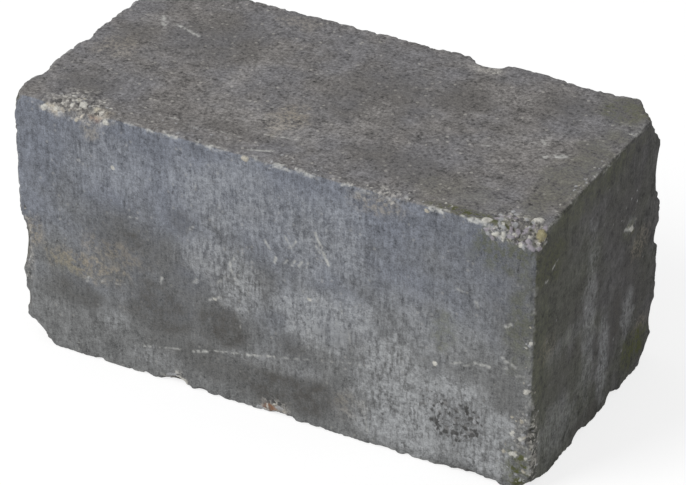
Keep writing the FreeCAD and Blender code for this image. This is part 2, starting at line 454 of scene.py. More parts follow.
PATCHES = (
    Patch(Mask.DIRT, Face.FRONT, (-82, 79), (32, 22), 0.6),
    Patch(Mask.DIRT, Face.FRONT, (-80, 82), (9, 8), 0.9),
    Patch(Mask.DIRT, Face.FRONT, (-50, 101), (9, 9), 0.65),
    Patch(Mask.DIRT, Face.FRONT, (-26, 45), (19, 17), 1.0),
    Patch(Mask.DIRT, Face.FRONT, (-64, 44), (26, 20), 0.9),
    Patch(Mask.DIRT, Face.FRONT, (-117, 40), (22, 12), 0.7),
    Patch(Mask.DIRT, Face.FRONT, (-30, 22), (52, 14), 0.6),
    Patch(Mask.DIRT, Face.FRONT, (12, 18), (38, 17), 1.0),
    Patch(Mask.DIRT, Face.FRONT, (16, 47), (11, 9), 0.75),
    Patch(Mask.DIRT, Face.FRONT, (53, 59), (9, 9), 0.55),
    Patch(Mask.DIRT, Face.FRONT, (-1, 78), (8, 15), 0.5),
    Patch(Mask.DIRT, Face.FRONT, (-57, 60), (55, 36), 0.45),
    Patch(Mask.DIRT, Face.FRONT, (138, 114), (16, 36), 0.4),
    Patch(Mask.DIRT, Face.FRONT, (126, 130), (24, 14), 0.3),
    Patch(Mask.DIRT, Face.FRONT, (96, 92), (9, 6), 0.4),
    Patch(Mask.DIRT, Face.FRONT, (-8, 118), (10, 7), 0.3),
    Patch(Mask.DIRT, Face.FRONT, (135, 52), (8, 24), 0.3),
    Patch(Mask.OCHRE, Face.FRONT, (-111, 58), (27, 10), 1.0, 0.6, 7),
    Patch(Mask.OCHRE, Face.FRONT, (-92, 70), (24, 9), 0.5, 0.6, 7),
    Patch(Mask.OCHRE, Face.FRONT, (-142, 69), (7, 12), 0.9, 0.5, 6),
    Patch(Mask.OCHRE, Face.FRONT, (63, 143), (18, 7), 0.7, 0.5, 5),
    Patch(Mask.OCHRE, Face.FRONT, (-103, 139), (7, 6), 0.6, 0.5, 5),
    Patch(Mask.OCHRE, Face.FRONT, (48, 20), (12, 9), 0.4, 0.5, 5),
    Patch(Mask.BLOOM, Face.FRONT, (-20, 122), (42, 26), 0.42, 0.5, 14),
    Patch(Mask.BLOOM, Face.FRONT, (28, 112), (34, 34), 0.38, 0.5, 14),
    Patch(Mask.BLOOM, Face.FRONT, (-93, 122), (34, 20), 0.25, 0.5, 12),
    Patch(Mask.BLOOM, Face.FRONT, (-32, 84), (26, 16), 0.6, 0.5, 10),
    Patch(Mask.BLOOM, Face.FRONT, (-16, 72), (18, 18), 0.75, 0.5, 8),
    Patch(Mask.BLOOM, Face.FRONT, (36, 66), (36, 22), 0.65, 0.5, 10),
    Patch(Mask.BLOOM, Face.FRONT, (74, 47), (26, 30), 0.8, 0.5, 10),
    Patch(Mask.BLOOM, Face.FRONT, (106, 32), (34, 28), 1.0, 0.5, 10),
    Patch(Mask.BLOOM, Face.FRONT, (76, 16), (34, 16), 0.9, 0.5, 9),
    Patch(Mask.BLOOM, Face.FRONT, (90, 80), (34, 20), 0.35, 0.5, 10),
    Patch(Mask.BLOOM, Face.FRONT, (126, 14), (18, 12), 0.9, 0.6, 7),
    Patch(Mask.BLOOM, Face.FRONT, (0, 31), (36, 5), 0.3, 0.6, 6),
    Patch(Mask.BLOOM, Face.FRONT, (-93, 30), (12, 7), 0.5, 0.5, 7),
    Patch(Mask.BLOOM, Face.FRONT, (-68, 14), (18, 7), 0.35, 0.5, 7),
    Patch(Mask.PITS, Face.FRONT, (109, 31), (17, 15), 0.9, 0.4, 6),
    Patch(Mask.PITS, Face.FRONT, (94, 40), (9, 6), 0.8, 0.6, 6),
    Patch(Mask.PITS, Face.FRONT, (40, 60), (12, 7), 0.4, 0.6, 6),
    Patch(Mask.PITS, Face.FRONT, (-105, 35), (16, 8), 0.5, 0.6, 6),
    Patch(Mask.MOSS, Face.FRONT, (101, 81), (9, 14), 0.4, 0.6, 6),
    Patch(Mask.MOSS, Face.FRONT, (144, 13), (9, 15), 1.0, 0.5, 6),
    Patch(Mask.MOSS, Face.FRONT, (132, 137), (22, 13), 0.55, 0.6, 7),
    Patch(Mask.MOSS, Face.FRONT, (143, 100), (9, 34), 0.4, 0.6, 8),
    Patch(Mask.MOSS, Face.FRONT, (-121, 55), (14, 8), 0.2, 0.6, 6),
    Patch(Mask.RUST, Face.FRONT, (0.5, 3.5), (4.5, 3.5), 1.0, 0.5, 4),
    Patch(Mask.RUST, Face.FRONT, (-101.5, 147.5), (5, 3), 0.45, 0.6, 4),
    Patch(Mask.LIME, Face.FRONT, (-112, 147), (22, 5), 1.0, 0.4, 6),
    Patch(Mask.LIME, Face.FRONT, (-55, 2), (6, 4), 0.7, 0.5, 4),
    Patch(Mask.LIME, Face.FRONT, (6, 4), (5, 3), 0.8, 0.5, 4),
    Patch(Mask.GRIT, Face.FRONT, (-95, 149), (10, 3), 0.5, 0.4, 5),
    Patch(Mask.GRIT, Face.FRONT, (135, 147), (19, 6.5), 0.9, 0.5, 6),
    Patch(Mask.GRIT, Face.FRONT, (62, 147), (14, 3.5), 0.45, 0.5, 5),
    Patch(Mask.GRIT, Face.FRONT, (-55, 3), (9, 6), 1.0, 0.5, 6),
    Patch(Mask.GRIT, Face.FRONT, (5, 5), (10, 6), 0.9, 0.5, 6),
    Patch(Mask.GRIT, Face.FRONT, (145, 34), (5, 24), 0.45, 0.6, 6),
    Patch(Mask.GRIT, Face.FRONT, (-146, 58), (5, 22), 0.5, 0.5, 6),
    Patch(Mask.GRIT, Face.TOP, (-113, -70), (20, 8), 0.95, 0.5, 7),
    Patch(Mask.GRIT, Face.TOP, (-112, -60), (15, 7), 0.5, 0.6, 6),
    Patch(Mask.GRIT, Face.TOP, (137, -67), (17, 9), 1.0, 0.5, 6),
    Patch(Mask.GRIT, Face.TOP, (66, -72), (12, 5), 0.5, 0.5, 6),
    Patch(Mask.GRIT, Face.TOP, (53, 66), (9, 6), 0.7, 0.5, 6),
    Patch(Mask.GRIT, Face.RIGHT, (-70, 146), (7, 6), 0.8, 0.5, 6),
    Patch(Mask.GRIT, Face.RIGHT, (-71, 24), (5, 30), 0.7, 0.5, 6),
    Patch(Mask.DIRT, Face.TOP, (-86, 28), (34, 32), 0.45),
    Patch(Mask.DIRT, Face.TOP, (16, 13), (32, 36), 0.45),
    Patch(Mask.DIRT, Face.TOP, (57, 32), (20, 18), 0.5),
    Patch(Mask.DIRT, Face.TOP, (106, 48), (20, 15), 0.5),
    Patch(Mask.DIRT, Face.TOP, (-122, -48), (20, 12), 0.5),
    Patch(Mask.DIRT, Face.TOP, (60, -44), (36, 16), 0.5),
    Patch(Mask.DIRT, Face.TOP, (-128, 12), (14, 20), 0.4),
    Patch(Mask.DIRT, Face.TOP, (-20, -52), (36, 9), 0.3),
    Patch(Mask.BLOOM, Face.TOP, (-54, 4), (8, 52), 0.32, 0.6, 9),
    Patch(Mask.BLOOM, Face.TOP, (-34, -39), (26, 12), 0.38, 0.6, 9),
    Patch(Mask.BLOOM, Face.TOP, (-6, -44), (20, 12), 0.4, 0.6, 9),
    Patch(Mask.BLOOM, Face.TOP, (77, 44), (16, 10), 0.5, 0.8, 8),
    Patch(Mask.BLOOM, Face.TOP, (49, 65), (13, 7), 0.8, 0.6, 7),
    Patch(Mask.BLOOM, Face.TOP, (110, -2), (22, 22), 0.3, 0.8, 9),
    Patch(Mask.BLOOM, Face.TOP, (112, 10), (6, 8), 0.8, 0.6, 5),
    Patch(Mask.BLOOM, Face.TOP, (25, -6), (8, 20), 0.5, 0.6, 8),
    Patch(Mask.BLOOM, Face.TOP, (20, -30), (14, 12), 0.25, 0.6, 8),
    Patch(Mask.BLOOM, Face.TOP, (-125, 30), (14, 10), 0.35, 0.6, 8),
    Patch(Mask.OCHRE, Face.TOP, (-11, -32), (12, 18), 0.8, 0.6, 6),
    Patch(Mask.OCHRE, Face.TOP, (-60, 64), (16, 8), 0.4, 0.6, 6),
    Patch(Mask.OCHRE, Face.TOP, (-130, -6), (14, 16), 0.5, 0.6, 8),
    Patch(Mask.OCHRE, Face.TOP, (-98, -72), (8, 6), 0.9, 0.5, 5),
    Patch(Mask.MOSS, Face.TOP, (113, -71), (28, 4.5), 1.0, 0.4, 6),
    Patch(Mask.MOSS, Face.TOP, (140, -8), (13, 80), 0.35, 0.9, 12),
    Patch(Mask.MOSS, Face.TOP, (134, 60), (18, 16), 0.6, 0.6, 7),
    Patch(Mask.MOSS, Face.TOP, (95, -55), (30, 14), 0.22, 0.7, 9),
    # On the right end these dark patches are painted shade of its hollows, partly dirt.
    Patch(Mask.DIRT, Face.RIGHT, (25, 50), (15, 19), 1.0),
    Patch(Mask.DIRT, Face.RIGHT, (48, 56), (22, 30), 0.6),
    Patch(Mask.DIRT, Face.RIGHT, (-53, 124), (28, 26), 0.5),
    Patch(Mask.DIRT, Face.RIGHT, (32, 112), (34, 26), 0.5),
    Patch(Mask.DIRT, Face.RIGHT, (38, 76), (16, 9), 0.7),
    Patch(Mask.DIRT, Face.RIGHT, (-30, 88), (40, 14), 0.6),
    Patch(Mask.DIRT, Face.RIGHT, (-40, 54), (34, 16), 0.5),
    Patch(Mask.DIRT, Face.RIGHT, (-8, 8), (22, 6), 0.9),
    Patch(Mask.BLOOM, Face.RIGHT, (-10, 66), (9, 62), 0.4, 0.6, 7),
    Patch(Mask.BLOOM, Face.RIGHT, (9, 34), (8, 28), 0.55, 0.6, 7),
    Patch(Mask.BLOOM, Face.RIGHT, (38, 44), (9, 16), 0.5, 0.6, 7),
    Patch(Mask.BLOOM, Face.RIGHT, (-45, 22), (28, 18), 0.3, 0.6, 9),
    Patch(Mask.BLOOM, Face.RIGHT, (-35, 70), (24, 8), 0.15, 0.6, 7),
    Patch(Mask.BLOOM, Face.RIGHT, (36, 98), (7, 5), 0.5, 0.6, 4),
    Patch(Mask.MOSS, Face.RIGHT, (48, 17), (20, 14), 1.0, 0.6, 8),
    Patch(Mask.MOSS, Face.RIGHT, (-60, 128), (18, 18), 0.5, 0.6, 8),
    Patch(Mask.MOSS, Face.RIGHT, (-68, 80), (12, 50), 0.3, 0.6, 8),
    Patch(Mask.MOSS, Face.RIGHT, (-3, 143), (72, 10), 0.35, 0.6, 8),
    Patch(Mask.MOSS, Face.RIGHT, (36, 97), (10, 7), 0.5, 0.6, 5),
    Patch(Mask.OCHRE, Face.RIGHT, (55, 28), (12, 7), 0.6, 0.6, 6),
    Patch(Mask.OCHRE, Face.RIGHT, (50, 82), (14, 9), 0.5, 0.6, 6),
    Patch(Mask.OCHRE, Face.RIGHT, (-60, 78), (12, 8), 0.4, 0.6, 6),
    Patch(Mask.MOSS, Face.LEFT, (20, 60), (50, 40), 0.5, 0.6, 12),
    Patch(Mask.DIRT, Face.LEFT, (-10, 80), (50, 50), 0.6, 0.6, 16),
    Patch(Mask.BLOOM, Face.LEFT, (-20, 40), (30, 40), 0.4, 0.6, 12),
    Patch(Mask.OCHRE, Face.LEFT, (-50, 60), (20, 26), 0.4, 0.6, 9),
    Patch(Mask.MOSS, Face.BACK, (60, 30), (80, 34), 0.45, 0.6, 14),
    Patch(Mask.DIRT, Face.BACK, (-60, 90), (60, 40), 0.7, 0.6, 16),
    Patch(Mask.DIRT, Face.BACK, (60, 50), (40, 26), 0.6, 0.6, 12),
    Patch(Mask.BLOOM, Face.BACK, (70, 105), (50, 30), 0.6, 0.6, 12),
    Patch(Mask.BLOOM, Face.BACK, (-90, 35), (40, 24), 0.5, 0.6, 12),
    Patch(Mask.DIRT, Face.BED, (-40, 0), (90, 50), 0.5, 0.6, 18),
    Patch(Mask.BLOOM, Face.BED, (80, 10), (50, 50), 0.5, 0.6, 14),
    Patch(Mask.OCHRE, Face.BED, (20, -30), (60, 26), 0.5, 0.6, 12),
)

STROKES = (
    Stroke(Face.FRONT, (28.5, 117), (36, 100.5), 1.6, 0.95, 0.1),
    Stroke(Face.FRONT, (27, 113), (31, 106), 1.0, 0.5),
    Stroke(Face.FRONT, (11.5, 110), (15, 104), 1.0, 0.7, 0.1),
    Stroke(Face.FRONT, (15, 104.5), (17.5, 109), 0.9, 0.55, 0.1),
    Stroke(Face.FRONT, (-0.5, 104.5), (2.5, 100), 1.3, 0.5, 0.2),
    Stroke(Face.FRONT, (5, 93), (6, 96), 1.1, 0.75, 0.1),
    Stroke(Face.FRONT, (10.5, 94), (12.5, 96.5), 1.0, 0.5, 0.1),
    Stroke(Face.FRONT, (15, 94.5), (17, 97.5), 1.1, 0.65, 0.1),
    Stroke(Face.FRONT, (19, 95), (21, 98), 1.1, 0.65, 0.1),
    Stroke(Face.FRONT, (23.5, 95.5), (24.5, 98.5), 1.0, 0.5, 0.1),
    Stroke(Face.FRONT, (-22, 82.5), (-18, 90), 1.6, 0.6),
    Stroke(Face.FRONT, (-21, 81.5), (-17, 73.5), 1.6, 0.65),
    Stroke(Face.FRONT, (-28.5, 70.5), (-23, 76.5), 1.8, 0.5),
    Stroke(Face.FRONT, (-34.5, 59), (-27.5, 62.5), 1.6, 0.6),
    Stroke(Face.FRONT, (-81, 95), (-76.5, 95.5), 1.0, 0.55),
    Stroke(Face.FRONT, (-44.5, 98.5), (-42.5, 100), 1.2, 0.6, 0.1),
    Stroke(Face.FRONT, (-27.5, 116.5), (-24, 113.5), 1.4, 0.4),
    Stroke(Face.FRONT, (-80, 17), (-51.5, 23.5), 1.0, 0.6, 0.45),
    Stroke(Face.FRONT, (-44, 24.5), (-36, 27), 1.5, 0.8, 0.1),
    Stroke(Face.FRONT, (-34, 28), (-4, 34), 1.0, 0.75, 0.3),
    Stroke(Face.FRONT, (-3, 34.5), (4, 36), 1.3, 0.8, 0.15),
    Stroke(Face.FRONT, (6, 36.5), (24, 40.5), 1.2, 0.5),
    Stroke(Face.FRONT, (41.5, 45), (59.5, 48), 1.1, 0.4),
    Stroke(Face.FRONT, (-63.5, 60.5), (-62.5, 63.5), 1.3, 0.6, 0.1),
    Stroke(Face.FRONT, (-43.5, 66.5), (-41.5, 69), 1.2, 0.6, 0.1),
    Stroke(Face.FRONT, (-109, 47.5), (-108, 50.5), 1.4, 0.7, 0.1),
    Stroke(Face.FRONT, (-100, 50), (-99, 51.5), 1.4, 0.5, 0.1),
    Stroke(Face.FRONT, (-91, 51.5), (-85, 53), 1.0, 0.4),
    Stroke(Face.FRONT, (104, 63.5), (110.5, 66.5), 1.3, 0.7, 0.2),
    Stroke(Face.FRONT, (112.5, 65.5), (117.5, 67.5), 1.2, 0.5),
    Stroke(Face.FRONT, (118.5, 68.5), (126.5, 69), 1.5, 0.8, 0.1),
    Stroke(Face.FRONT, (133.5, 76), (136, 74.5), 2.4, 0.6, 0.3),
    Stroke(Face.FRONT, (138.5, 74), (140.5, 73), 1.8, 0.6, 0.2),
    Stroke(Face.FRONT, (134.5, 71), (137, 71.5), 1.8, 0.7, 0.3),
    Stroke(Face.FRONT, (140.5, 68), (148.5, 70), 1.1, 0.6),
    Stroke(Face.FRONT, (134.5, 95), (137.5, 97), 1.6, 0.7, 0.1),
    Stroke(Face.FRONT, (118, 105), (119, 101), 1.5, 0.45, 0.1),
    Stroke(Face.FRONT, (107, 108.5), (110.5, 107.5), 1.6, 0.4),
    Stroke(Face.FRONT, (47.5, 66), (49.5, 50.5), 1.2, 0.45),
    Stroke(Face.FRONT, (55.5, 33), (58.5, 6.5), 1.0, 0.4),
    Stroke(Face.FRONT, (43, 81), (44, 75), 1.0, 0.4),
    Stroke(Face.FRONT, (-18, 62), (-15, 44), 1.0, 0.25),
    Stroke(Face.TOP, (-127, 35.5), (-121, 27), 2.6, 0.75, 0.25),
    Stroke(Face.TOP, (-116, 31), (-98.5, 25), 1.9, 0.8, 0.15),
    Stroke(Face.TOP, (-73, -59), (-59.5, -59), 1.0, 0.5),
    Stroke(Face.TOP, (-55.5, -61.5), (-47.5, -62), 1.0, 0.45),
    Stroke(Face.TOP, (-35, -59), (-24, -59.5), 1.0, 0.5),
    Stroke(Face.TOP, (-13, -69), (-1.5, -64), 1.4, 0.7, 0.1),
    Stroke(Face.TOP, (-13.5, -51.5), (3.5, -48), 1.3, 0.6, 0.2),
    Stroke(Face.TOP, (119, -3.5), (127.5, 1), 3.6, 0.75, 0.3),
    Stroke(Face.TOP, (110.5, 11.5), (115.5, 6.5), 2.2, 0.45),
    Stroke(Face.TOP, (83.5, -9.5), (90.5, -7), 1.4, 0.5),
    Stroke(Face.TOP, (23.5, 50), (29.5, 49.5), 1.4, 0.4),
    Stroke(Face.RIGHT, (29, 99.5), (39.5, 95), 1.8, 0.75, 0.1),
    Stroke(Face.RIGHT, (-57.5, 122.5), (-51.5, 124.5), 1.2, 0.6, 0.1),
    Stroke(Face.RIGHT, (-67, 119.5), (-62, 118.5), 1.1, 0.5, 0.1),
    Stroke(Face.RIGHT, (-17.5, 75), (-13.5, 77), 1.2, 0.4),
)

WORN_LINES = (
    WornLine((Face.FRONT, Face.TOP), (-96, 112), 1.7, 0.8, 0.12),
    WornLine((Face.FRONT, Face.TOP), (-6, 30), 1.6, 0.85, -0.12),
    WornLine((Face.FRONT, Face.TOP), (60, 122), 1.6, 0.85, -0.08),
    WornLine((Face.RIGHT, Face.TOP), (-66, 62), 1.8, 0.55, 0.12),
    WornLine((Face.FRONT, Face.RIGHT), (60, 136), 1.8, 0.4, 0.05),
    WornLine((Face.FRONT, Face.RIGHT), (12, 60), 2.2, 0.6, 0.08),
    WornLine((Face.LEFT, Face.TOP), (-60, 70), 1.8, 0.35, 0.1),
    WornLine((Face.BACK, Face.TOP), (-140, 130), 1.8, 0.35, 0.1),
    WornLine((Face.FRONT, Face.LEFT), (20, 135), 2.0, 0.4, 0.1),
    WornLine((Face.FRONT, Face.BED), (-120, 140), 2.2, 0.35, 0.1),
    WornLine((Face.RIGHT, Face.BED), (-60, 60), 2.0, 0.25, 0.15),
    WornLine((Face.BACK, Face.RIGHT), (15, 130), 2.4, 0.4, 0.1),
    WornLine((Face.BACK, Face.LEFT), (15, 140), 2.0, 0.4, 0.1),
    WornLine((Face.BACK, Face.BED), (-135, 135), 2.0, 0.35, 0.1),
    WornLine((Face.LEFT, Face.BED), (-60, 65), 2.0, 0.35, 0.1),
)

STONES = (
    Stone(Face.FRONT, (-111, 120), (1.3, 1.0), PALE_GREY, 0.2),
    Stone(Face.FRONT, (-90, 121.5), (1.2, 0.9), WHITE, 0.2),
    Stone(Face.FRONT, (25.5, 77), (1.4, 1.0), WHITE, 0.2),
    Stone(Face.FRONT, (96.5, 61), (1.3, 1.2), WHITE, 0.2),
    Stone(Face.FRONT, (147, 60.5), (2.0, 1.3), WHITE, 0.3, 0.9),
    Stone(Face.FRONT, (-30.5, 60.5), (1.2, 0.9), WHITE, 0.2),
    Stone(Face.FRONT, (-41.5, 67.5), (1.0, 0.8), PALE_GREY, 0.2),
    Stone(Face.FRONT, (91, 147.5), (1.4, 1.0), CREAM, 0.3),
    Stone(Face.TOP, (121.9, -72.3), (2.6, 1.7), WHITE, 0.8, 0.3),
    Stone(Face.FRONT, (127.5, 145), (2.2, 1.2), WHITE, 0.6, 0.4),
    Stone(Face.FRONT, (132, 145.4), (1.2, 2.0), WHITE, 0.5),
    Stone(Face.TOP, (143.8, -60.5), (2.6, 2.0), WHITE, 0.9, 0.3),
    Stone(Face.TOP, (127.2, -69), (1.3, 1.5), PALE_GREY, 0.5),
    Stone(Face.TOP, (147.7, -67), (2.2, 3.2), YELLOW, 1.0, 0.2),
    Stone(Face.FRONT, (-131, 146), (1.9, 1.5), WHITE, 0.5),
    Stone(Face.FRONT, (-123, 147), (1.6, 1.1), WHITE, 0.5, 0.6),
    Stone(Face.FRONT, (-93, 147), (2.2, 1.2), WHITE, 0.4, -0.2),
    Stone(Face.TOP, (-111, -70), (2.4, 1.4), WHITE, 0.5),
    Stone(Face.TOP, (-102, -69), (1.8, 1.2), CREAM, 0.4),
    Stone(Face.FRONT, (-12, 148.5), (2.0, 1.5), CREAM, 0.5),
    Stone(Face.FRONT, (-59, 4), (3.2, 1.6), PALE_GREY, 0.3, 0.6),
    Stone(Face.FRONT, (-52, 2), (2.6, 1.4), WHITE, 0.3, -0.4),
    Stone(Face.FRONT, (7, 5), (2.4, 1.4), PALE_GREY, 0.3),
    Stone(Face.FRONT, (-5, 2), (2.0, 1.2), PALE_GREY, 0.3),
    Stone(Face.FRONT, (141.5, 22), (1.7, 1.4), WHITE, 0.5),
    Stone(Face.FRONT, (135.5, 22), (1.1, 1.2), CREAM, 0.4),
    Stone(Face.FRONT, (144.5, 31.5), (1.2, 1.0), WHITE, 0.4),
    Stone(Face.FRONT, (140.5, 38.5), (1.2, 1.3), PALE_GREY, 0.3),
    Stone(Face.FRONT, (147, 13), (1.2, 1.1), CREAM, 0.4),
    Stone(Face.RIGHT, (37.5, 96), (2.4, 1.5), WHITE, 0.5, -0.5),
)

PALE_MIX = (WHITE, CREAM, PALE_GREY, PALE_GREY, MID_GREY)
LILAC_MIX = (WHITE, LILAC, PALE_GREY, LILAC, DARK_GREY)
DULL_MIX = (PALE_GREY, MID_GREY, CREAM, DARK_GREY)
DARK_MIX = (MID_GREY, DARK_GREY)
# The pit cluster: its dark stones are painted shade in the pits, its pale ones are grains.
PIT_SHADE_MIX = (PIT_SHADE_GREY, PIT_SHADE_GREY, DARK_GREY, DARK_GREY, MID_GREY, PALE_GREY)
SCATTERS = (
    Grit(Face.FRONT, (-112, 147), (20, 4), 16, (0.4, 1.1), PALE_MIX),
    Grit(Face.TOP, (-112, -66), (17, 8), 34, (0.5, 1.1), PALE_MIX),
    Grit(Face.FRONT, (136, 146), (15, 5), 34, (0.5, 1.4), LILAC_MIX),
    Grit(Face.TOP, (-30, -68), (66, 6), 44, (0.3, 0.8), PALE_MIX),
    Grit(Face.TOP, (70, -70), (50, 4), 30, (0.3, 0.8), PALE_MIX),
    Grit(Face.TOP, (137, -67), (13, 9), 46, (0.6, 1.5), LILAC_MIX),
    Grit(Face.RIGHT, (-70, 145), (6, 5), 14, (0.5, 1.3), LILAC_MIX),
    Grit(Face.FRONT, (109, 31), (15, 12), 80, (0.6, 1.5), PIT_SHADE_MIX),
    Grit(Face.FRONT, (95, 39), (9, 6), 20, (0.5, 1.2), PIT_SHADE_MIX),
    Grit(Face.FRONT, (143, 26), (7, 24), 34, (0.5, 1.3), PALE_MIX),
    Grit(Face.FRONT, (147, 72), (2, 34), 18, (0.4, 1.0), PALE_MIX),
    Grit(Face.RIGHT, (-71, 30), (4, 30), 18, (0.5, 1.2), PALE_MIX),
    Grit(Face.FRONT, (-55, 3), (7, 4), 14, (0.5, 1.4), PALE_MIX),
    Grit(Face.FRONT, (3, 4), (9, 4), 14, (0.5, 1.2), PALE_MIX),
    Grit(Face.TOP, (147, -6), (2, 54), 26, (0.4, 1.0), PALE_MIX),
    Grit(Face.FRONT, (-146, 60), (3, 26), 16, (0.4, 1.1), DULL_MIX),
    Grit(Face.RIGHT, (0, 75), (66, 66), 34, (0.4, 1.2), DARK_MIX),
    Grit(Face.RIGHT, (36, 108), (12, 18), 14, (0.4, 0.9), DULL_MIX),
    Grit(Face.BACK, (0, 75), (135, 66), 40, (0.3, 0.9), DULL_MIX),
    Grit(Face.LEFT, (0, 75), (66, 66), 24, (0.3, 0.9), DULL_MIX),
)


@dataclass
class WallBlock:
    """The block: the CAD solid's own shape with a cast skin, crumbled arrises, broken faces and stains.

    Its lengths are in millimetres. An inset is how far a point lies inside the block's plain box.
    """

    node: str = "concrete_block"
    body: str = "root"
    finish: str = "concrete"
    voxel: float = 0.8
    triangles: int = 140_000
    fine_edge: float = 0.5
    halvings: int = 5
    arris_width: float = 9.0
    kept_width: float = 4.5
    break_insets: tuple[float, float] = (0.6, 1.8)
    rounded_inset: float = 0.4
    rounded_width: float = 3.0
    refined_inset: float = 1.3
    moat_depth: float = 0.3
    moat_place: float = 1.15
    moat_width: float = 0.25
    scratch_depth: float = 0.15
    pit_depth: float = 0.7
    seed: int = 418

    def __post_init__(self) -> None:
        """Reads the block's plain box and draws its noise."""
        low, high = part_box(self.node)
        self.prism = Prism(np.array(low) / MM, np.array(high) / MM)
        self.noise = Noise(self.seed)
        self.stones: list[tuple[Stone, np.ndarray]] = []

    def build(self, material: bpy.types.Material) -> bpy.types.Object:
        """Makes the visual block and lets it stand for the CAD node.

        Args:
            material: The concrete.

        Returns:
            The block's object.
        """
        mesh = bpy.data.objects[self.node].data.copy()
        mesh.materials.clear()
        self.weld(mesh)
        mesh = self.modified(mesh, "REMESH", {"mode": "VOXEL", "voxel_size": self.voxel * MM})
        rounding = {"factor": 0.5, "iterations": 10, "vertex_group": "breaks"}
        mesh = self.modified(mesh, "SMOOTH", rounding, self.near_break)
        self.shift(mesh, self.coarse_relief)
        logger.info("cast skin: %d faces", len(mesh.polygons))
        self.place_stones(places(mesh))
        share = self.triangles / (2 * len(mesh.polygons))
        mesh = self.modified(mesh, "DECIMATE", {"ratio": share, "vertex_group": "plain"}, self.plainness)
        logger.info("thinned skin: %d faces", len(mesh.polygons))
        self.refine(mesh)
        self.shift(mesh, self.fine_relief)
        self.paint(mesh)
        mesh.materials.append(material)
        mesh.shade_smooth()
        block = bpy.data.objects.new("tumbled_block", mesh)
        bpy.context.scene.collection.objects.link(block)
        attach(block, self.body)
        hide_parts(self.node)
        logger.info("tumbled_block: %d triangles, %d stones", len(mesh.polygons), len(self.stones))
        return block

    @staticmethod
    def weld(mesh: bpy.types.Mesh) -> None:
        """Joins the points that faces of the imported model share, so that the surface is closed."""
        work = bmesh.new()
        work.from_mesh(mesh)
        bmesh.ops.remove_doubles(work, verts=work.verts, dist=0.001 * MM)
        work.to_mesh(mesh)
        work.free()

    @staticmethod
    def modified(
        mesh: bpy.types.Mesh,
        kind: str,
        settings: dict[str, object],
        weight: Callable[[np.ndarray], np.ndarray] | None = None,
    ) -> bpy.types.Mesh:
        """Runs a mesh through one modifier.

        Args:
            mesh: The mesh, which is used up.
            kind: The modifier's type.
            settings: The modifier's settings.
            weight: Which points, by their places in millimetres, belong to the modifier's vertex group.

        Returns:
            The new mesh.
        """
        holder = bpy.data.objects.new("work", mesh)
        bpy.context.scene.collection.objects.link(holder)
        modifier = holder.modifiers.new("work", kind)
        for name, value in settings.items():
            setattr(modifier, name, value)
        if weight:
            group = holder.vertex_groups.new(name=settings["vertex_group"])
            chosen = np.flatnonzero(weight(places(mesh)))
            group.add(chosen.tolist(), 1.0, "REPLACE")
        shown = holder.evaluated_get(bpy.context.evaluated_depsgraph_get())
        result = bpy.data.meshes.new_from_object(shown)
        bpy.data.objects.remove(holder)
        bpy.data.meshes.remove(mesh)
        return result

    @staticmethod
    def shift(mesh: bpy.types.Mesh, relief: Callable[[np.ndarray], np.ndarray]) -> None:
        """Moves a mesh's points along their normals.

        Args:
            mesh: The mesh.
            relief: Heights in millimetres by the points' places in millimetres.
        """
        points = places(mesh)
        normals = np.empty(len(points) * 3, np.float32)
        mesh.vertex_normals.foreach_get("vector", normals)
        points += normals.reshape(-1, 3) * relief(points)[:, None]
        mesh.vertices.foreach_set("co", (points * MM).astype(np.float32).ravel())
        mesh.update()

    def coarse_relief(self, points: np.ndarray) -> np.ndarray:
        """Works out the cast skin, the crumbled arrises and the rough broken faces.

        Args:
            points: The surface's points in millimetres, one row each.

        Returns:
            A height in millimetres for each point.
        """
        noise, prism = self.noise, self.prism
        insets = prism.insets(points)
        arris = smooth(insets[:, 1], self.arris_width, 0)
        edge = smooth(insets[:, 1], 4.5, 1.0)
        broken = self.brokenness(points)
        right = prism.share(points, Face.RIGHT, 6)
        top = prism.share(points, Face.TOP, 6)
        height = 0.3 * noise.at(points / 55) + 0.12 * noise.layers(points, 6)
        height += 0.07 * top * noise.layers(points, 2.4, 2)
        bites = np.maximum(noise.at(points / 9 + 7.1) - 0.1, 0)
        crumbs = np.maximum(noise.layers(points + 50, 3.6, 2) - 0.05, 0)
        height += edge * (0.45 - 2.1 * bites - 1.7 * crumbs) + arris * 0.7 * noise.layers(points, 4.5)
        height += broken * (1.5 * noise.layers(points, 9) + 0.8 * noise.at(points / 2.6))
        ridges = noise.layers(points / (1, 8, 60), 1, 2)
        height += right * (1 - arris) * (0.45 * ridges + 0.6 * noise.layers(points, 16))
        return np.minimum(height, 0.55 + 0.9 * broken)

    def fine_relief(self, points: np.ndarray) -> np.ndarray:
        """Works out the stones, scratches and pits.

        Args:
            points: The surface's points in millimetres, one row each.

        Returns:
            A height in millimetres for each point.
        """
        height = np.zeros(len(points))
        for stone, near, off in self.stones_on(points):
            dome = stone.proud * np.sqrt(np.clip(1 - off**2, 0, 1))
            moat = self.moat_depth * stone.proud * smooth(np.abs(off - self.moat_place), self.moat_width, 0)
            height[near] = np.maximum(height[near], dome) - moat
        for stroke in STROKES:
            height -= self.scratch_depth * stroke.paint(points, self.prism, self.noise)
        pits = self.patched(points, Mask.PITS)
        height -= self.pit_depth * pits * smooth(self.noise.layers(points, 2.6, 2), 0.05, 0.4)
        return height

    def brokenness(self, points: np.ndarray) -> np.ndarray:
        """How far each point lies in a chip or a broken corner, from 0 to 1."""
        return smooth(self.prism.insets(points)[:, 0], *self.break_insets)

    def near_break(self, points: np.ndarray) -> np.ndarray:
        """Which points lie in a chip or a broken corner, or on its rim."""
        insets = self.prism.insets(points)
        return (insets[:, 0] > self.rounded_inset) | (insets[:, 1] < self.rounded_width)

    def patched(self, points: np.ndarray, mask: Mask) -> np.ndarray:
        """The strength of one kind of stain or painted shade at each point, from all its patches."""
        painted = [p.paint(points, self.prism, self.noise) for p in PATCHES if p.mask is mask]
        return np.max(painted, axis=0)

